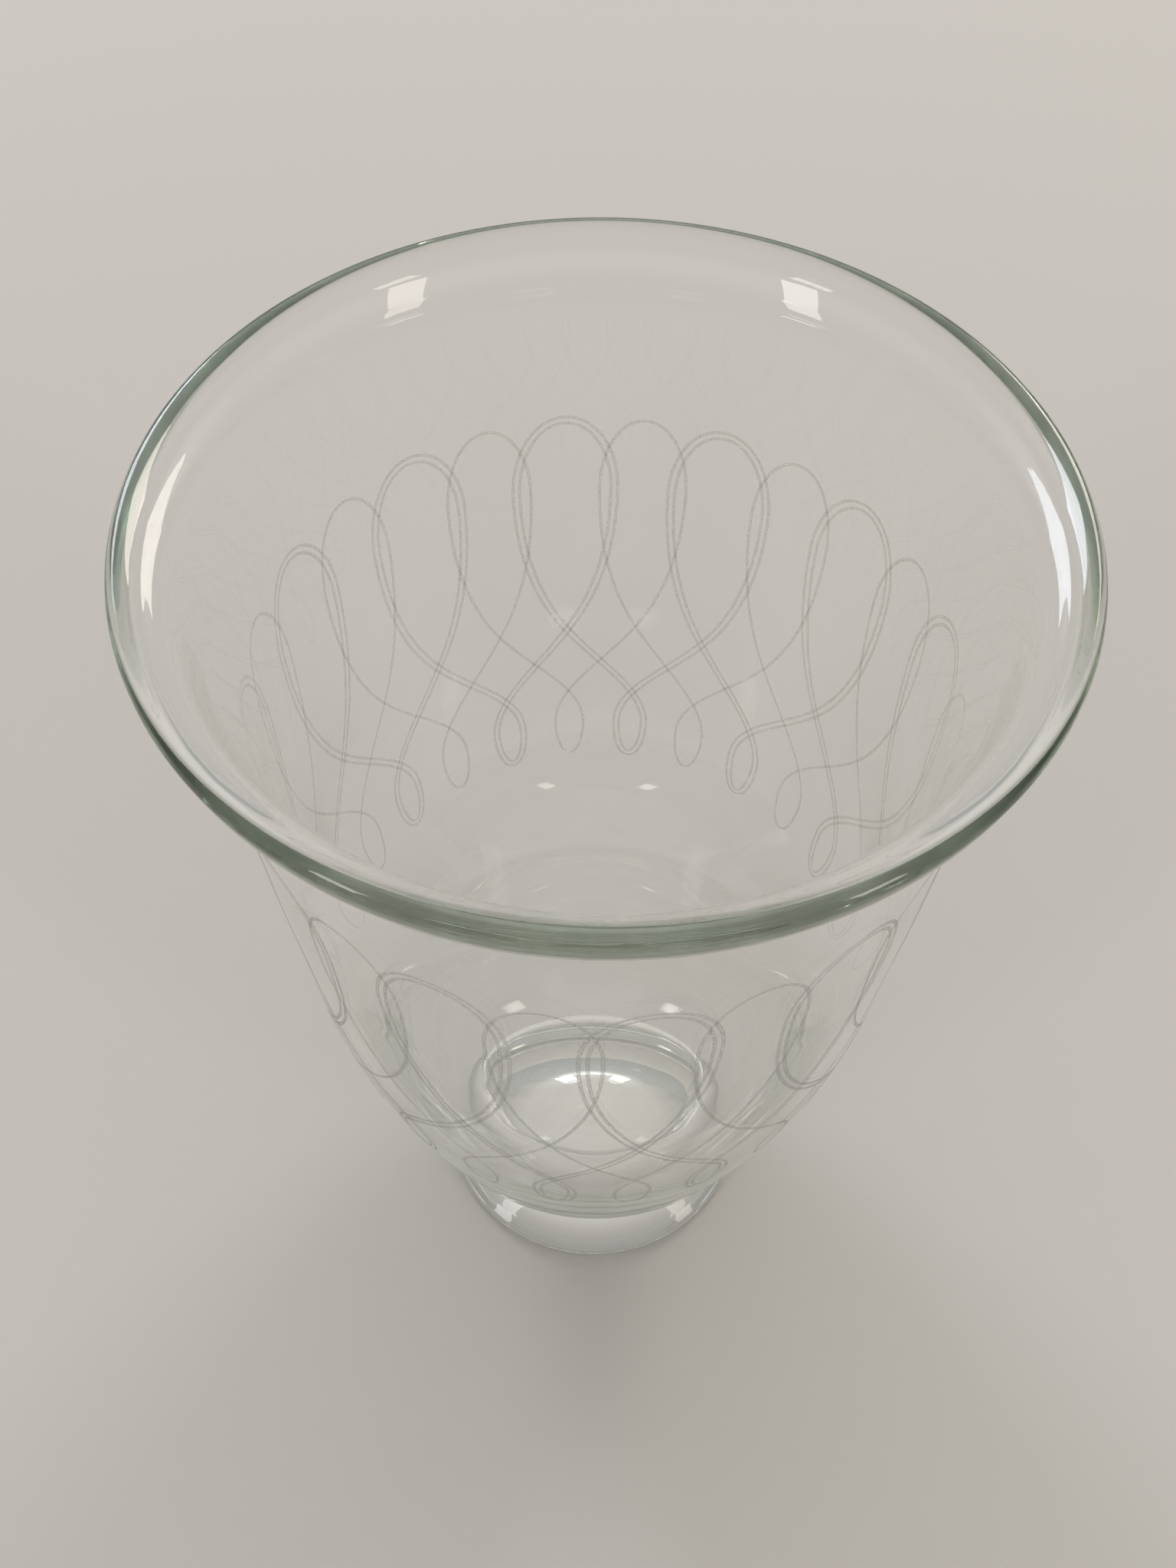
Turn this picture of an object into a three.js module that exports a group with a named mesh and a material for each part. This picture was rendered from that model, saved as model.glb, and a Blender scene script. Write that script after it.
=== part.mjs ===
// Footed clear glass vessel: a blown bowl with a flared, fire-polished mouth, and a foot of gathered
// glass drawn out under it. Millimetres, +Z up, origin at the centre of the ring that it rests on.
import * as THREE from 'three';

// Whole vessel
const vesselHeight = 231;

// Bowl, outside, from the mouth down
const mouthRadius = 65;
const beadRadius = 2.1;
const mouthLean = 0.21;
const mouthHandle = 27;
const bellyRadius = 57.6;
const bellyHeight = 143;
const bellyHandleUp = 35;
const bellyHandleDown = 38;
const hipRadius = 48.2;
const hipHeight = 64;
const hipLean = 0.19;
const hipHandleUp = 15;
const hipHandleDown = 14;
const underReach = 9.5;
const underRise = 3;

// Bowl, thickness of the glass
const floorThickness = 6.5;
const shoulderThickness = 7.5;
const sideThickness = 2.6;
const thinningHeight = 70;
const beadBlendHeight = 16;

// Joint where the foot is stuck on under the bowl
const jointRadius = 28.5;
const jointHeight = 36;

// Foot
const footRadius = 41;
const footEdgeRadius = 2.2;
const footEdgeSlope = 32;
const footEdgeHandle = 9;
const footNeckHandle = 14;
const footNeckPinch = 0.5;
const restWidth = 2.4;
const kickHeight = 22;
const kickReach = 8;
const kickRise = 10;
const kickLean = 12;

// Facets
const aroundSteps = 64;
const underSteps = 7;
const sideSteps = 9;
const flareSteps = 10;
const beadSteps = 8;
const floorSteps = 4;
const footSteps = 8;
const kickSteps = 8;

/** A profile point: distance from the axis, then height. */
function at(radius, height) {
  return new THREE.Vector2(radius, height);
}

/** The direction of a wall that leans out by the given run for each unit of rise. */
function leaning(run) {
  return at(run, 1).normalize();
}

/** Where a handle of the given length ends, from a point along a direction. */
function along(point, direction, length) {
  return point.clone().addScaledVector(direction, length);
}

/** Points round a bead of glass, between two angles in degrees from level outwards. */
function bead(centre, radius, fromAngle, toAngle) {
  const from = THREE.MathUtils.degToRad(fromAngle);
  const to = THREE.MathUtils.degToRad(toAngle);
  const arc = new THREE.EllipseCurve(centre.x, centre.y, radius, radius, from, to, to < from);
  return arc.getPoints(beadSteps);
}

/** Revolves a profile that starts and ends on the axis, and stands its axis along +Z. */
function revolve(name, profile, material) {
  const geometry = new THREE.LatheGeometry(profile, aroundSteps);
  geometry.rotateX(Math.PI / 2);
  const mesh = new THREE.Mesh(geometry, material);
  mesh.name = name;
  return mesh;
}

/** Thickness of the bowl's wall at a height: heavy low down, thin up the side, swelling to the bead. */
function wallThickness(height) {
  const thinned = THREE.MathUtils.smoothstep(height, jointHeight, jointHeight + thinningHeight);
  const swollen = THREE.MathUtils.smoothstep(height, vesselHeight - beadBlendHeight, vesselHeight - beadRadius);
  const side = THREE.MathUtils.lerp(shoulderThickness, sideThickness, thinned);
  return THREE.MathUtils.lerp(side, 2 * beadRadius, swollen);
}

/** The inside of one stretch of the bowl, from its top down: each point moved in by the wall there. */
function insideOf(curve, steps) {
  const points = [];
  for (let step = steps; step >= 0; step -= 1) {
    const outside = curve.getPoint(step / steps);
    const tangent = curve.getTangent(step / steps);
    points.push(along(outside, at(-tangent.y, tangent.x), wallThickness(outside.y)));
  }
  return points;
}

/** Bowl: rounded under the hip, bellied, drawn in a little and flared to a round bead at the mouth. */
function bowlProfile() {
  const beadCentre = at(mouthRadius - beadRadius, vesselHeight - beadRadius);
  const lipAngle = -THREE.MathUtils.radToDeg(Math.atan(mouthLean));
  const rim = bead(beadCentre, beadRadius, lipAngle, lipAngle + 180);
  const joint = at(jointRadius, jointHeight);
  const hip = at(hipRadius, hipHeight);
  const belly = at(bellyRadius, bellyHeight);
  const lip = rim[0];
  const under = new THREE.CubicBezierCurve(
    joint,
    at(jointRadius + underReach, jointHeight + underRise),
    along(hip, leaning(hipLean), -hipHandleDown),
    hip,
  );
  const side = new THREE.CubicBezierCurve(
    hip,
    along(hip, leaning(hipLean), hipHandleUp),
    at(bellyRadius, bellyHeight - bellyHandleDown),
    belly,
  );
  const flare = new THREE.CubicBezierCurve(
    belly,
    at(bellyRadius, bellyHeight + bellyHandleUp),
    along(lip, leaning(mouthLean), -mouthHandle),
    lip,
  );
  const insideUnder = insideOf(under, underSteps);
  const shoulder = insideUnder[underSteps];
  const floorCentre = at(0, jointHeight + floorThickness);
  const floor = new THREE.QuadraticBezierCurve(shoulder, at(shoulder.x / 2, floorCentre.y), floorCentre);
  return [
    at(0, jointHeight),
    ...under.getPoints(underSteps),
    ...side.getPoints(sideSteps).slice(1),
    ...flare.getPoints(flareSteps).slice(1),
    ...rim.slice(1),
    ...insideOf(flare, flareSteps).slice(1),
    ...insideOf(side, sideSteps).slice(1),
    ...insideUnder.slice(1),
    ...floor.getPoints(floorSteps).slice(1),
  ];
}

/** Foot: a short neck spreading to a round edge, with a domed hollow pushed up from below. */
function footProfile() {
  const edgeCentre = at(footRadius - footEdgeRadius, footEdgeRadius);
  const edge = bead(edgeCentre, footEdgeRadius, -90, 90 - footEdgeSlope);
  const edgeTop = edge[beadSteps];
  const slope = THREE.MathUtils.degToRad(footEdgeSlope);
  const top = new THREE.CubicBezierCurve(
    edgeTop,
    along(edgeTop, at(-Math.cos(slope), Math.sin(slope)), footEdgeHandle),
    at(jointRadius - footNeckPinch, jointHeight - footNeckHandle),
    at(jointRadius, jointHeight),
  );
  const restInside = edgeCentre.x - restWidth;
  const kick = new THREE.CubicBezierCurve(
    at(0, kickHeight),
    at(kickReach, kickHeight),
    at(restInside - kickLean, kickRise),
    at(restInside, 0),
  );
  return [
    ...kick.getPoints(kickSteps),
    ...edge,
    ...top.getPoints(footSteps).slice(1),
    at(0, jointHeight),
  ];
}

const clearGlass = new THREE.MeshStandardMaterial({
  color: 0xdfe6e0,
  roughness: 0.03,
  metalness: 0,
  transparent: true,
  opacity: 0.35,
});

const vessel = new THREE.Group();
vessel.add(revolve('bowl', bowlProfile(), clearGlass));
vessel.add(revolve('foot', footProfile(), clearGlass.clone()));

export default vessel;
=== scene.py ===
"""Footed clear glass vessel: a blown bowl, its stuck-on foot, and the engraved lines round the bowl.

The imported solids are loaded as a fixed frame. Each is replaced by a fine revolved piece, because glass
shows every facet in what it bends. The outline is the solids' own, but for the bowl's wall, which is a
little thicker and drawn in under a lip that turns out. Sizes are in millimetres until a mesh is made.
"""
import logging
import math
from dataclasses import dataclass, field
from enum import Enum

import bpy
from mathutils import Matrix, Vector
from mathutils.geometry import interpolate_bezier

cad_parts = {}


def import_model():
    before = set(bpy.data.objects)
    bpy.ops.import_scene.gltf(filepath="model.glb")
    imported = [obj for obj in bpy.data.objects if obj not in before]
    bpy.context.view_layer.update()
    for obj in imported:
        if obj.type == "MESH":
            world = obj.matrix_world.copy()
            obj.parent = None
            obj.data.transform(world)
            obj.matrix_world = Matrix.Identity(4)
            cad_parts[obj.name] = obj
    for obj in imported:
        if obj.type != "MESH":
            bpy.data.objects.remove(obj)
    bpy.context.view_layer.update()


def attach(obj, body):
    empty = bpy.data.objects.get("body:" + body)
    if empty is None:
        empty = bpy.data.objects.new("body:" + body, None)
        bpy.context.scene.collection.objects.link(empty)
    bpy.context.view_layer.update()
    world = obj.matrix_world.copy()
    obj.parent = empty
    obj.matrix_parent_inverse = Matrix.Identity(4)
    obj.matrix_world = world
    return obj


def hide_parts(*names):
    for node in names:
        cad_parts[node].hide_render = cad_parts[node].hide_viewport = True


LOG = logging.getLogger("glass_vessel")
MM = 0.001
# The length of a curve's handle that makes a quarter of it nearly round, as a share of its radius.
ROUND_HANDLE = 0.56
# Faces that meet at less than this angle, in degrees, are shaded as one surface.
SMOOTH_UNDER = 35.0


class Panel(Enum):
    """What in the room a lamp's soft panel stands for."""

    BACK_LEFT = "back left window"
    BACK_RIGHT = "back right window"
    FRONT_LEFT = "front left window"
    FRONT_RIGHT = "front right window"


def linear(hex_colour: str, alpha: float = 1.0) -> tuple[float, float, float, float]:
    """Turns an sRGB colour into the linear one that a shader takes.

    Args:
        hex_colour: Six hex digits with a leading hash.
        alpha: The fourth number of the colour.

    Returns:
        Red, green, blue and alpha, linear.
    """
    channels = []
    for start in (1, 3, 5):
        value = int(hex_colour[start:start + 2], 16) / 255
        channels.append(value / 12.92 if value <= 0.04045 else ((value + 0.055) / 1.055) ** 2.4)
    return channels[0], channels[1], channels[2], alpha


def add_node(tree: bpy.types.NodeTree, kind: str, settings: dict | None = None,
             links: dict | None = None) -> bpy.types.Node:
    """Adds one shader node.

    Args:
        tree: The node tree that it goes in.
        kind: The node's type name.
        settings: Values for its sockets, by socket name, or for its properties, by property name.
        links: The output socket that feeds each input socket, by the input's name or number.

    Returns:
        The new node.
    """
    node = tree.nodes.new(kind)
    for name, value in (settings or {}).items():
        if name in node.inputs:
            node.inputs[name].default_value = value
        else:
            setattr(node, name, value)
    for name, output in (links or {}).items():
        tree.links.new(output, node.inputs[name])
    return node


def new_material(name: str) -> tuple[bpy.types.Material, bpy.types.NodeTree]:
    """Makes a material with an empty node tree.

    Args:
        name: The material's name.

    Returns:
        The material and its tree.
    """
    material = bpy.data.materials.new(name)
    material.use_nodes = True
    material.node_tree.nodes.clear()
    return material, material.node_tree


@dataclass(frozen=True)
class BlownGlass:
    """Soda-lime glass, blown and fire polished: clear, with the slow waviness of the pipe.

    A little light is lost for each millimetre on the way through, so the mouth, where light runs down inside
    the wall, is a dark grey-green line. Where the foot was stuck on hot, light goes straight through.
    """

    name: str = "blown_soda_lime_glass"
    surface: str = "#ffffff"
    body: str = "#edefec"
    loss: float = 30.0
    ior: float = 1.52
    roughness: float = 0.0
    wave_length: float = 14.0
    wave_stretch: float = 0.55
    wave_strength: float = 0.035
    wave_depth: float = 1.0
    seam_attribute: str = "fused_seam"

    def material(self) -> bpy.types.Material:
        """Builds the glass, with a bump so slow that only highlights and what is behind waver.

        Returns:
            The material.
        """
        material, tree = new_material(self.name)
        place = add_node(tree, "ShaderNodeTexCoord")
        stretch = add_node(tree, "ShaderNodeMapping", {"Scale": (1.0, 1.0, self.wave_stretch)},
                           {"Vector": place.outputs["Object"]})
        waves = add_node(tree, "ShaderNodeTexNoise",
                         {"Scale": 1 / (self.wave_length * MM), "Detail": 1.0, "Roughness": 0.4},
                         {"Vector": stretch.outputs["Vector"]})
        bump = add_node(tree, "ShaderNodeBump",
                        {"Strength": self.wave_strength, "Distance": self.wave_depth * MM},
                        {"Height": waves.outputs["Fac"]})
        glass = add_node(tree, "ShaderNodeBsdfPrincipled",
                         {"Base Color": linear(self.surface), "Roughness": self.roughness, "IOR": self.ior,
                          "Transmission Weight": 1.0}, {"Normal": bump.outputs["Normal"]})
        seam = add_node(tree, "ShaderNodeAttribute", {"attribute_name": self.seam_attribute})
        fused = add_node(tree, "ShaderNodeBsdfTransparent", {"Color": (1.0, 1.0, 1.0, 1.0)})
        skin = add_node(tree, "ShaderNodeMixShader", None,
                        {"Fac": seam.outputs["Fac"], 1: glass.outputs["BSDF"], 2: fused.outputs["BSDF"]})
        depth = add_node(tree, "ShaderNodeVolumeAbsorption",
                         {"Color": linear(self.body), "Density": self.loss})
        add_node(tree, "ShaderNodeOutputMaterial",
                 links={"Surface": skin.outputs["Shader"], "Volume": depth.outputs["Volume"]})
        return material


@dataclass(frozen=True)
class GroundLine:
    """Glass ground dull by a needle and acid: a fine grey line on a pale ground, and pale on a dark one."""

    name: str = "ground_line"
    colour: str = "#d6d5cf"
    cover: float = 0.3
    uneven: float = 0.14
    grain: float = 0.35

    def material(self) -> bpy.types.Material:
        """Builds the dull line, which lets part of the light by and scatters the rest, a little unevenly.

        Returns:
            The material.
        """
        material, tree = new_material(self.name)
        place = add_node(tree, "ShaderNodeTexCoord")
        grain = add_node(tree, "ShaderNodeTexNoise", {"Scale": 1 / (self.grain * MM), "Detail": 2.0},
                         {"Vector": place.outputs["Object"]})
        cover = add_node(tree, "ShaderNodeMapRange",
                         {"From Min": 0.3, "From Max": 0.7, "To Min": self.cover - self.uneven,
                          "To Max": self.cover + self.uneven},
                         {"Value": grain.outputs["Fac"]})
        front = add_node(tree, "ShaderNodeBsdfDiffuse", {"Color": linear(self.colour)})
        through = add_node(tree, "ShaderNodeBsdfTranslucent", {"Color": linear(self.colour)})
        dull = add_node(tree, "ShaderNodeMixShader", {"Fac": 0.5},
                        {1: front.outputs["BSDF"], 2: through.outputs["BSDF"]})
        clear = add_node(tree, "ShaderNodeBsdfTransparent")
        mixed = add_node(tree, "ShaderNodeMixShader", None,
                         {"Fac": cover.outputs["Result"], 1: clear.outputs["BSDF"],
                          2: dull.outputs["Shader"]})
        add_node(tree, "ShaderNodeOutputMaterial", links={"Surface": mixed.outputs["Shader"]})
        return material


@dataclass(frozen=True)
class PaleGround:
    """The plain pale ground that the vessel stands on, matt and warm grey like undyed linen."""

    name: str = "pale_ground"
    colour: str = "#c3bfba"
    # Strength of the painted light: an emission glow on the ground under the foot, not a lamp.
    painted_lens_glow: float = 0.8
    lens_radius: float = 43.0
    lens_fade: float = 18.0

    def material(self) -> bpy.types.Material:
        """Builds the matt ground, with a painted glow under the foot, seen only through the glass, for the
        light that the foot gathers like a lens.

        Returns:
            The material.
        """
        material, tree = new_material(self.name)
        matt = add_node(tree, "ShaderNodeBsdfDiffuse", {"Color": linear(self.colour), "Roughness": 0.5})
        place = add_node(tree, "ShaderNodeTexCoord")
        out = add_node(tree, "ShaderNodeVectorMath", {"operation": "LENGTH"}, {0: place.outputs["Object"]})
        full = self.lens_radius - self.lens_fade
        under = add_node(tree, "ShaderNodeMapRange",
                         {"From Min": self.lens_radius * MM, "From Max": full * MM, "To Max": self.painted_lens_glow},
                         {"Value": out.outputs["Value"]})
        light = add_node(tree, "ShaderNodeLightPath")
        share = add_node(tree, "ShaderNodeMath", {"operation": "MULTIPLY"},
                         {0: under.outputs["Result"], 1: light.outputs["Is Transmission Ray"]})
        # Painted light: the ground glows under the foot for rays that come through the glass.
        glow = add_node(tree, "ShaderNodeEmission", {"Color": linear(self.colour)},
                        {"Strength": share.outputs["Value"]})
        both = add_node(tree, "ShaderNodeAddShader", None,
                        {0: matt.outputs["BSDF"], 1: glow.outputs["Emission"]})
        add_node(tree, "ShaderNodeOutputMaterial", links={"Surface": both.outputs["Shader"]})
        return material


def curve_points(corners: list[Vector], steps: int) -> list[Vector]:
    """Points along one cubic curve.

    Args:
        corners: Start, handle, handle, end.
        steps: How many stretches it is cut into.

    Returns:
        One point more than there are steps.
    """
    return [Vector(p[:2]) for p in interpolate_bezier(*[c.to_3d() for c in corners], steps + 1)]


def arc_points(centre: Vector, radius: float, start: float, end: float, steps: int) -> list[Vector]:
    """Points round part of a circle.

    Args:
        centre: Its centre, as distance from the axis and height.
        radius: Its radius.
        start: First angle in degrees, from level outwards.
        end: Last angle in degrees.
        steps: How many stretches it is cut into.

    Returns:
        One point more than there are steps.
    """
    return [centre + heading(start + (end - start) * i / steps) * radius for i in range(steps + 1)]


def heading(angle: float) -> Vector:
    """The direction that is turned up from level outwards by an angle in degrees."""
    return Vector((math.cos(math.radians(angle)), math.sin(math.radians(angle))))


def leaning(run: float) -> Vector:
    """The direction of a wall that leans out by the given run for each unit of rise."""
    return Vector((run, 1.0)).normalized()


def smooth_share(value: float, low: float, high: float) -> float:
    """How far a value is from low to high, eased at both ends."""
    share = min(max((value - low) / (high - low), 0.0), 1.0)
    return share * share * (3 - 2 * share)


def revolve(name: str, outline: list[Vector], around: int) -> bpy.types.Object:
    """Draws an outline vertex by vertex and spins it round the vertical axis into a closed body.

    Args:
        name: The piece's name.
        outline: Distance from the axis and height of each point, in millimetres, from axis to axis.
        around: How many steps the turn takes.

    Returns:
        The piece, smooth, with its faces outwards.
    """
    bpy.ops.object.select_all(action="DESELECT")
    bpy.ops.mesh.primitive_plane_add(size=1 * MM, location=(0, 0, 0))
    piece = bpy.context.object
    piece.name = name
    piece.data.name = name
    bpy.ops.object.mode_set(mode="EDIT")
    bpy.ops.mesh.select_all(action="SELECT")
    bpy.ops.mesh.merge(type="CENTER")
    here = Vector((0.0, 0.0, 0.0))
    for index, point in enumerate(outline):
        there = Vector((point.x, 0.0, point.y)) * MM
        if index == 0:
            bpy.ops.transform.translate(value=there - here)
        else:
            bpy.ops.mesh.extrude_region_move(TRANSFORM_OT_translate={"value": there - here})
        here = there
    bpy.ops.mesh.select_all(action="SELECT")
    bpy.ops.mesh.spin(steps=around, angle=2 * math.pi, center=(0, 0, 0), axis=(0, 0, 1), use_auto_merge=True)
    bpy.ops.mesh.select_all(action="SELECT")
    bpy.ops.mesh.remove_doubles(threshold=0.001 * MM)
    bpy.ops.mesh.normals_make_consistent(inside=False)
    bpy.ops.object.mode_set(mode="OBJECT")
    bpy.ops.object.shade_smooth_by_angle(angle=math.radians(SMOOTH_UNDER))
    return piece


def mark_seam(piece: bpy.types.Object, attribute: str, height: float) -> int:
    """Marks the piece's flat joint faces as fused.

    Args:
        piece: A revolved piece.
        attribute: The name of the face attribute that the glass reads.
        height: The height of the joint, in millimetres.

    Returns:
        How many faces were marked.
    """
    fused = [abs(face.center.z - height * MM) < 0.002 * MM and abs(face.normal.z) > 0.99
             for face in piece.data.polygons]
    values = piece.data.attributes.new(name=attribute, type="FLOAT", domain="FACE").data
    for value, marked in zip(values, fused):
        value.value = 1.0 if marked else 0.0
    return sum(fused)


@dataclass
class Bowl:
    """The blown bowl: rounded under the hip, bellied, drawn in a little and flared to a rounded lip."""

    vessel_height: float = 231.0
    mouth_radius: float = 65.0
    bead_radius: float = 2.1
    mouth_lean: float = 0.21
    mouth_handle: float = 27.0
    belly_radius: float = 57.6
    belly_height: float = 143.0
    belly_handle_up: float = 35.0
    belly_handle_down: float = 38.0
    hip_radius: float = 48.2
    hip_height: float = 64.0
    hip_lean: float = 0.19
    hip_handle_up: float = 15.0
    hip_handle_down: float = 14.0
    under_reach: float = 9.5
    under_rise: float = 3.0
    floor_thickness: float = 6.5
    shoulder_thickness: float = 7.5
    side_thickness: float = 3.0
    thinning_height: float = 70.0
    lip_height: float = 14.0
    lip_thickness: float = 4.2
    lip_blend: float = 61.0
    lip_draw: float = 2.5
    draw_start: float = 165.0
    turn_start: float = 11.5
    turn_end: float = 7.4
    edge_radius: float = 1.9
    edge_under: float = 7.5
    edge_over: float = 32.0
    slope_tilt: float = -1.0
    slope_start: float = 3.1
    slope_end: float = 11.4
    joint_radius: float = 28.5
    joint_height: float = 36.0
    under_steps: int = 28
    side_steps: int = 36
    flare_steps: int = 44
    turn_steps: int = 20
    edge_steps: int = 24
    slope_steps: int = 24
    floor_steps: int = 14
    around: int = 288
    glass: BlownGlass = field(default_factory=BlownGlass)

    def wall_thickness(self, height: float) -> float:
        """Thickness of the wall: heavy low down, less up the side, changing again to the lip.

        Args:
            height: Height over the ground, in millimetres.

        Returns:
            The thickness in millimetres.
        """
        thinned = smooth_share(height, self.joint_height, self.joint_height + self.thinning_height)
        turn = self.vessel_height - self.lip_height
        lipped = smooth_share(height, turn - self.lip_blend, turn)
        side = self.shoulder_thickness + (self.side_thickness - self.shoulder_thickness) * thinned
        return side + (self.lip_thickness - side) * lipped

    def outside(self) -> list[Vector]:
        """The outer wall's outline from the joint up to where the lip turns out.

        Returns:
            The points, as distance from the axis and height.
        """
        lip_angle = -math.degrees(math.atan(self.mouth_lean))
        centre = Vector((self.mouth_radius - self.bead_radius, self.vessel_height - self.bead_radius))
        lip = centre + heading(lip_angle) * self.bead_radius
        joint = Vector((self.joint_radius, self.joint_height))
        hip = Vector((self.hip_radius, self.hip_height))
        belly = Vector((self.belly_radius, self.belly_height))
        under = curve_points([joint, joint + Vector((self.under_reach, self.under_rise)),
                              hip - leaning(self.hip_lean) * self.hip_handle_down, hip], self.under_steps)
        side = curve_points([hip, hip + leaning(self.hip_lean) * self.hip_handle_up,
                             belly - Vector((0, self.belly_handle_down)), belly], self.side_steps)
        flare = curve_points([belly, belly + Vector((0, self.belly_handle_up)),
                              lip - leaning(self.mouth_lean) * self.mouth_handle, lip], self.flare_steps)
        turn = self.vessel_height - self.lip_height
        line = []
        for point in under + side[1:] + flare[1:]:
            drawn_in = self.lip_draw * smooth_share(point.y, self.draw_start, turn)
            if point.y <= turn:
                line.append(point - Vector((drawn_in, 0.0)))
        return line

    def outline(self) -> list[Vector]:
        """The bowl's whole outline, from the joint's centre round to the floor's centre.

        Returns:
            The points, as distance from the axis and height.
        """
        outer = self.outside()
        inner = []
        for index, point in enumerate(outer):
            before = outer[max(index - 1, 0)]
            after = outer[min(index + 1, len(outer) - 1)]
            along = (after - before).normalized()
            inner.append(point + Vector((-along.y, along.x)) * self.wall_thickness(point.y))
        centre = Vector((self.mouth_radius - self.edge_radius, self.vessel_height - self.edge_radius))
        edge = arc_points(centre, self.edge_radius, -self.edge_under, self.edge_over, self.edge_steps)
        climb = (outer[-1] - outer[-2]).normalized()
        turned_out = curve_points([outer[-1], outer[-1] + climb * self.turn_start,
                                   edge[0] - heading(90 - self.edge_under) * self.turn_end, edge[0]],
                                  self.turn_steps)
        rise = (inner[-1] - inner[-2]).normalized()
        falling = heading(90 + self.edge_over + self.slope_tilt)
        slope = curve_points([edge[-1], edge[-1] + falling * self.slope_start,
                              inner[-1] + rise * self.slope_end, inner[-1]], self.slope_steps)
        lip = turned_out[1:] + edge[1:] + slope[1:-1]
        shoulder = inner[0]
        floor_centre = Vector((0.0, self.joint_height + self.floor_thickness))
        middle = Vector((shoulder.x / 2, floor_centre.y))
        floor = curve_points([shoulder, shoulder.lerp(middle, 2 / 3), floor_centre.lerp(middle, 2 / 3),
                              floor_centre], self.floor_steps)
        return [Vector((0.0, self.joint_height))] + outer + lip + inner[::-1] + floor[1:]

    def radius_at(self, height: float) -> float:
        """The outer wall's distance from the axis.

        Args:
            height: Height over the ground, in millimetres.

        Returns:
            The distance in millimetres.
        """
        outer = self.outside()
        for low, high in zip(outer, outer[1:]):
            if low.y <= height <= high.y:
                return low.x + (high.x - low.x) * (height - low.y) / (high.y - low.y)
        return outer[-1].x

    def build(self) -> None:
        """Spins the bowl and dresses it."""
        piece = revolve("bowl_glass", self.outline(), self.around)
        piece.data.materials.append(self.glass.material())
        marked = mark_seam(piece, self.glass.seam_attribute, self.joint_height)
        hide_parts("bowl")
        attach(piece, "root")
        LOG.info("bowl: %d faces, %d on the seam", len(piece.data.polygons), marked)


@dataclass
class Foot:
    """The stuck-on foot: a short neck spreading to a round edge, with a hollow pushed up under it."""

    bowl: Bowl
    foot_radius: float = 41.0
    edge_radius: float = 2.2
    edge_slope: float = 32.0
    edge_handle: float = 9.0
    neck_handle: float = 14.0
    neck_pinch: float = 0.5
    rest_width: float = 2.4
    kick_height: float = 22.0
    kick_reach: float = 8.0
    kick_rise: float = 10.0
    kick_lean: float = 12.0
    seam_gap: float = 0.01
    edge_steps: int = 16
    top_steps: int = 40
    kick_steps: int = 40

    def top_height(self) -> float:
        """The height of the foot's top, a hair under the bowl, so that light leaves one for the other."""
        return self.bowl.joint_height - self.seam_gap

    def outline(self) -> list[Vector]:
        """The foot's outline, from the top of the hollow round to the joint's centre.

        Returns:
            The points, as distance from the axis and height.
        """
        centre = Vector((self.foot_radius - self.edge_radius, self.edge_radius))
        edge = arc_points(centre, self.edge_radius, -90, 90 - self.edge_slope, self.edge_steps)
        joint = Vector((self.bowl.joint_radius, self.top_height()))
        top = curve_points([edge[-1], edge[-1] + heading(180 - self.edge_slope) * self.edge_handle,
                            joint - Vector((self.neck_pinch, self.neck_handle)), joint], self.top_steps)
        inside = centre.x - self.rest_width
        kick = curve_points([Vector((0.0, self.kick_height)), Vector((self.kick_reach, self.kick_height)),
                             Vector((inside - self.kick_lean, self.kick_rise)), Vector((inside, 0.0))],
                            self.kick_steps)
        return kick + edge + top[1:] + [Vector((0.0, self.top_height()))]

    def build(self) -> None:
        """Spins the foot and dresses it."""
        piece = revolve("foot_glass", self.outline(), self.bowl.around)
        piece.data.materials.append(self.bowl.glass.material())
        marked = mark_seam(piece, self.bowl.glass.seam_attribute, self.top_height())
        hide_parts("foot")
        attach(piece, "root")
        LOG.info("foot: %d faces, %d on the seam", len(piece.data.polygons), marked)


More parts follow.
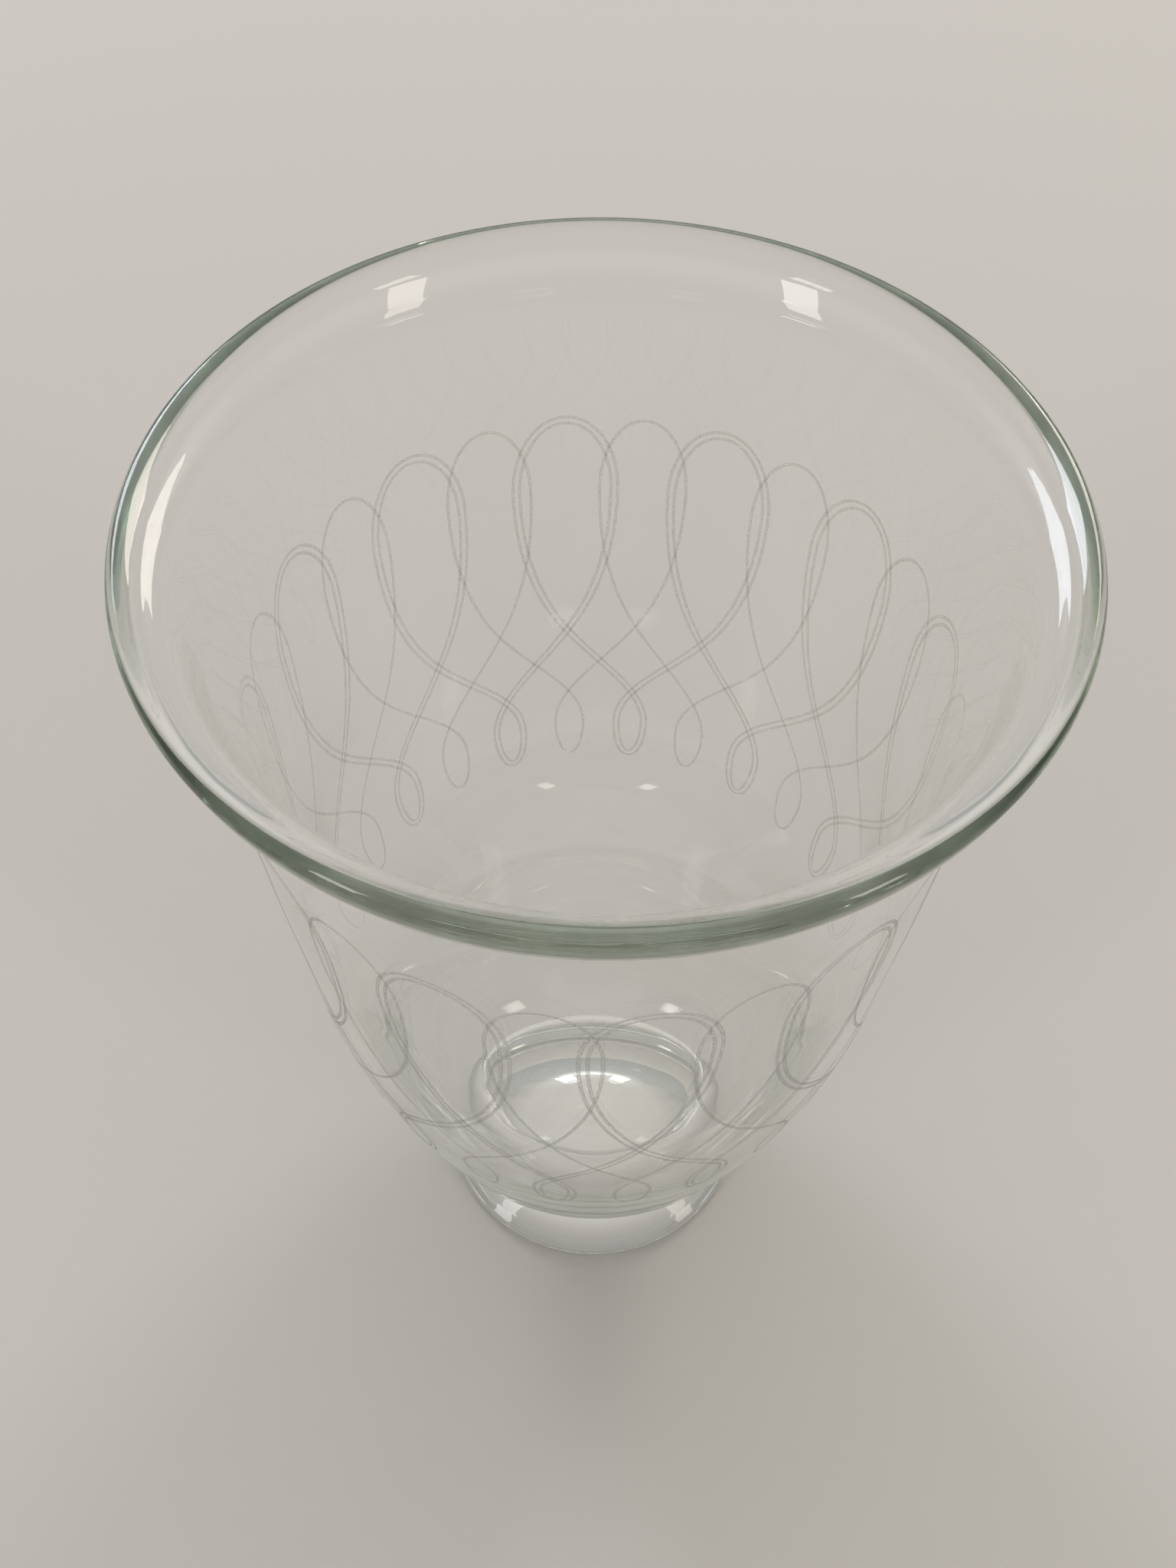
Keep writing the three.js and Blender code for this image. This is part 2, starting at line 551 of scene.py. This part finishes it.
@dataclass
class LineEngraving:
    """The looped lines round the bowl: tall loops that cross low down and turn back in a small drop.

    A wave is drawn flat, as angle in degrees round the bowl and height, and then laid on the wall. The pair
    of lines and the single line between them have the same wave, half a wave apart.
    """

    bowl: Bowl
    waves: int = 12
    loop_top: float = 196.5
    loop_side: float = 180.0
    loop_half_turn: float = 9.5
    cross_upper_handle: float = 132.0
    cross_lower_handle: float = 127.0
    drop_side: float = 109.0
    drop_bottom: float = 98.5
    drop_half_turn: float = 3.4
    side_handle: float = 0.6
    crown_steps: int = 14
    leg_steps: int = 34
    turn_steps: int = 10
    first_loop: float = 7.0
    single_narrow: float = 0.88
    pair_gap: float = 1.3
    line_width: float = 0.6
    line_depth: float = 0.07
    clearance: float = 0.02
    finish: GroundLine = field(default_factory=GroundLine)

    def half_wave(self, narrow: float) -> list[Vector]:
        """Half a wave, from the top of a loop to the bottom of the drop, as angle and height.

        Args:
            narrow: What the loop's width is multiplied by.

        Returns:
            The points, the last one a quarter of the way to the next loop but one.
        """
        middle = 180.0 / self.waves
        side = -self.loop_half_turn * narrow
        drop = middle + self.drop_half_turn
        top = Vector((0.0, self.loop_top))
        left = Vector((side, self.loop_side))
        right = Vector((drop, self.drop_side))
        bottom = Vector((middle, self.drop_bottom))
        crown_handle = (self.loop_top - self.loop_side) * self.side_handle
        drop_handle = (self.drop_side - self.drop_bottom) * self.side_handle
        crown = curve_points([top, top + Vector((side * ROUND_HANDLE, 0)),
                              left + Vector((0, crown_handle)), left], self.crown_steps)
        leg = curve_points([left, Vector((side, self.cross_upper_handle)),
                            Vector((drop, self.cross_lower_handle)), right], self.leg_steps)
        turn = curve_points([right, right - Vector((0, drop_handle)),
                             bottom + Vector((self.drop_half_turn * ROUND_HANDLE, 0)), bottom],
                            self.turn_steps)
        return crown + leg[1:] + turn[1:]

    def round_trip(self, start: float, narrow: float) -> list[Vector]:
        """The whole line once round the bowl, as flat distance round and height.

        Args:
            start: The angle of its first loop, in degrees.
            narrow: What the loops' width is multiplied by.

        Returns:
            The points, the last one a full turn on from the first.
        """
        wave = 360.0 / self.waves
        down = self.half_wave(narrow)
        up = [Vector((wave - p.x, p.y)) for p in reversed(down)]
        one = down + up[1:-1]
        around = math.radians(self.bowl.belly_radius)
        points = [Vector(((start + wave * n + p.x) * around, p.y)) for n in range(self.waves) for p in one]
        return points + [Vector(((start + 360.0) * around, self.loop_top))]

    def beside(self, points: list[Vector], distance: float) -> list[Vector]:
        """The line that runs at a fixed distance beside another.

        Args:
            points: The line's points, as flat distance and height.
            distance: How far beside it, to the left of its run.

        Returns:
            As many points.
        """
        shifted = []
        for index, point in enumerate(points):
            before = points[index - 1] if index > 0 else point + points[0] - points[1]
            after = points[index + 1] if index + 1 < len(points) else point
            if index == 0 or index + 1 == len(points):
                along = Vector((-1.0, 0.0))
            else:
                along = (after - before).normalized()
            shifted.append(point + Vector((-along.y, along.x)) * distance)
        return shifted

    def draw(self, name: str, points: list[Vector]) -> bpy.types.Object:
        """Draws one line flat as a bevelled curve and turns it into a mesh.

        Args:
            name: The name of the line.
            points: Its points, as flat distance and height.

        Returns:
            A thin closed ribbon lying flat.
        """
        bpy.ops.object.select_all(action="DESELECT")
        bpy.ops.curve.primitive_bezier_curve_add(location=(0, 0, 0))
        line = bpy.context.object
        line.name = name
        line.data.dimensions = "2D"
        line.data.fill_mode = "NONE"
        line.data.splines.clear()
        spline = line.data.splines.new("POLY")
        spline.points.add(len(points) - 1)
        for target, point in zip(spline.points, points):
            target.co = (point.x * MM, point.y * MM, 0.0, 1.0)
        line.data.bevel_depth = self.line_width / 2 * MM
        line.data.bevel_resolution = 0
        bpy.ops.object.convert(target="MESH")
        bpy.ops.object.mode_set(mode="EDIT")
        bpy.ops.mesh.select_all(action="SELECT")
        bpy.ops.transform.resize(value=(1, 1, self.line_depth / self.line_width))
        bpy.ops.object.mode_set(mode="OBJECT")
        return line

    def lay_on_wall(self, line: bpy.types.Object) -> None:
        """Wraps a flat line round the bowl's outer wall.

        Args:
            line: The flat ribbon, whose vertices are moved.
        """
        lift = (self.clearance + self.line_depth / 2) * MM
        radii = {}
        for vertex in line.data.vertices:
            height = vertex.co.y / MM
            key = round(height, 3)
            if key not in radii:
                radii[key] = self.bowl.radius_at(height) * MM
            turn = vertex.co.x / (self.bowl.belly_radius * MM) - math.pi / 2
            out = radii[key] + lift + vertex.co.z
            vertex.co = (out * math.cos(turn), out * math.sin(turn), vertex.co.y)

    def build(self) -> None:
        """Draws, lays and joins the three lines."""
        half = 180.0 / self.waves
        pair = self.round_trip(self.first_loop, 1.0)
        single = self.round_trip(self.first_loop + half, self.single_narrow)
        lines = [
            self.draw("pair_outer_line", self.beside(pair, self.pair_gap / 2)),
            self.draw("pair_inner_line", self.beside(pair, -self.pair_gap / 2)),
            self.draw("single_line", single),
        ]
        for line in lines:
            self.lay_on_wall(line)
        bpy.ops.object.select_all(action="DESELECT")
        for line in lines:
            line.select_set(True)
        bpy.context.view_layer.objects.active = lines[0]
        bpy.ops.object.join()
        piece = bpy.context.object
        piece.name = "engraved_lines"
        piece.data.name = "engraved_lines"
        bpy.ops.object.mode_set(mode="EDIT")
        bpy.ops.mesh.select_all(action="SELECT")
        bpy.ops.mesh.remove_doubles(threshold=0.003 * MM)
        bpy.ops.mesh.normals_make_consistent(inside=False)
        bpy.ops.object.mode_set(mode="OBJECT")
        piece.data.materials.clear()
        piece.data.materials.append(self.finish.material())
        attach(piece, "root")
        LOG.info("engraved lines: %d faces", len(piece.data.polygons))


@dataclass(frozen=True)
class Window:
    """One soft panel of light that looks at the vessel's mouth.

    Its place is given in degrees: round from the vessel's right, the back being 90, and over level. Its glow
    is how bright it looks, 1 being white paper in the picture.
    """

    panel: Panel
    round_from_right: float
    over_level: float
    width: float
    height: float
    glow: float
    colour: str


@dataclass
class Studio:
    """Plain floor, soft window-like lamps, and the camera at the photograph's angle.

    The room's light changes between two shares of a direction's own height or depth, each given as a pair.
    """

    floor_half: float = 2000.0
    floor_drop: float = 0.15
    camera_place: tuple[float, float, float] = (-2.1, -123.9, 349.2)
    camera_down: float = 56.27
    camera_roll: float = 0.45
    focal_length: float = 29.17
    sensor_width: float = 36.0
    mouth_height: float = 231.0
    panel_distance: float = 1500.0
    windows: tuple[Window, ...] = (
        Window(Panel.BACK_LEFT, 124.0, 32.0, 420.0, 560.0, 6.5, "#ecf2ff"),
        Window(Panel.BACK_RIGHT, 56.0, 32.0, 420.0, 560.0, 5.5, "#fff6ea"),
        Window(Panel.FRONT_LEFT, -140.0, 20.0, 240.0, 480.0, 4.5, "#ffffff"),
        Window(Panel.FRONT_RIGHT, -38.0, 20.0, 240.0, 480.0, 4.0, "#fff6ea"),
    )
    walls: str = "#a5a7a5"
    ceiling: str = "#e1e0dd"
    ceiling_from: tuple[float, float] = (0.05, 0.85)
    back: str = "#fbfbfa"
    back_glow: float = 2.0
    back_from: tuple[float, float] = (0.2, 0.7)
    back_above: tuple[float, float] = (0.36, 0.56)
    glass_bounces: int = 96
    clear_bounces: int = 32
    ground: PaleGround = field(default_factory=PaleGround)

    def floor(self) -> None:
        """Lays the floor just under the foot."""
        bpy.ops.object.select_all(action="DESELECT")
        place = (0, 0, -self.floor_drop * MM)
        bpy.ops.mesh.primitive_plane_add(size=2 * self.floor_half * MM, location=place)
        floor = bpy.context.object
        floor.name = "floor"
        floor.data.materials.append(self.ground.material())

    def lamp(self, window: Window) -> None:
        """Hangs one soft panel.

        Args:
            window: The panel's place, size and light.
        """
        data = bpy.data.lights.new(window.panel.value, "AREA")
        data.shape = "RECTANGLE"
        data.size = window.width * MM
        data.size_y = window.height * MM
        data.energy = 4 * data.size * data.size_y * window.glow
        data.color = linear(window.colour)[:3]
        lamp = bpy.data.objects.new(window.panel.value, data)
        bpy.context.collection.objects.link(lamp)
        level = heading(window.round_from_right) * math.cos(math.radians(window.over_level))
        towards = Vector((level.x, level.y, math.sin(math.radians(window.over_level))))
        lamp.location = (Vector((0.0, 0.0, self.mouth_height)) + towards * self.panel_distance) * MM
        lamp.rotation_euler = (-towards).to_track_quat("-Z", "Y").to_euler()

    def room(self) -> None:
        """Gives the room its light: dim level with the table, paler overhead, bright along the back."""
        world = bpy.data.worlds.new("room")
        world.use_nodes = True
        tree = world.node_tree
        tree.nodes.clear()
        place = add_node(tree, "ShaderNodeTexCoord")
        split = add_node(tree, "ShaderNodeSeparateXYZ", None, {"Vector": place.outputs["Generated"]})
        rise = add_node(tree, "ShaderNodeMapRange",
                        {"From Min": self.ceiling_from[0], "From Max": self.ceiling_from[1]},
                        {"Value": split.outputs["Z"]})
        walls = add_node(tree, "ShaderNodeBackground", {"Color": linear(self.walls)})
        ceiling = add_node(tree, "ShaderNodeBackground", {"Color": linear(self.ceiling)})
        room = add_node(tree, "ShaderNodeMixShader", None,
                        {"Fac": rise.outputs["Result"], 1: walls.outputs["Background"],
                         2: ceiling.outputs["Background"]})
        across = add_node(tree, "ShaderNodeMapRange",
                          {"From Min": self.back_from[0], "From Max": self.back_from[1],
                           "interpolation_type": "SMOOTHSTEP"},
                          {"Value": split.outputs["Y"]})
        above = add_node(tree, "ShaderNodeMapRange",
                         {"From Min": self.back_above[0], "From Max": self.back_above[1],
                          "interpolation_type": "SMOOTHSTEP"},
                         {"Value": split.outputs["Z"]})
        share = add_node(tree, "ShaderNodeMath", {"operation": "MULTIPLY"},
                         {0: across.outputs["Result"], 1: above.outputs["Result"]})
        back = add_node(tree, "ShaderNodeBackground",
                        {"Color": linear(self.back), "Strength": self.back_glow})
        around = add_node(tree, "ShaderNodeMixShader", None,
                          {"Fac": share.outputs["Value"], 1: room.outputs["Shader"],
                           2: back.outputs["Background"]})
        add_node(tree, "ShaderNodeOutputWorld", links={"Surface": around.outputs["Shader"]})
        bpy.context.scene.world = world

    def camera(self) -> None:
        """Sets the camera where the photograph was taken from."""
        data = bpy.data.cameras.new("camera")
        data.sensor_width = self.sensor_width
        data.lens = self.focal_length
        camera = bpy.data.objects.new("camera", data)
        bpy.context.collection.objects.link(camera)
        camera.location = Vector(self.camera_place) * MM
        down = Matrix.Rotation(math.pi / 2 - math.radians(self.camera_down), 4, "X")
        roll = Matrix.Rotation(math.radians(self.camera_roll), 4, "Z")
        camera.rotation_euler = (down @ roll).to_euler()
        bpy.context.scene.camera = camera

    def build(self) -> None:
        """Sets up floor, lamps, room and camera, and lets light take its many turns inside the glass."""
        scene = bpy.context.scene
        scene.view_settings.view_transform = "Standard"
        scene.cycles.max_bounces = self.glass_bounces
        scene.cycles.transmission_bounces = self.glass_bounces
        scene.cycles.glossy_bounces = self.glass_bounces
        scene.cycles.transparent_max_bounces = self.clear_bounces
        self.floor()
        for window in self.windows:
            self.lamp(window)
        self.room()
        self.camera()
        LOG.info("studio: floor, %d lamps and camera", len(self.windows))


def main() -> None:
    """Loads the frame, builds the pieces in order and keeps the two boxes, hidden."""
    logging.basicConfig(level=logging.INFO, format="%(name)s: %(message)s")
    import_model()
    bowl = Bowl()
    bowl.build()
    Foot(bowl).build()
    LineEngraving(bowl).build()
    Studio().build()


if __name__ == "__main__":
    main()
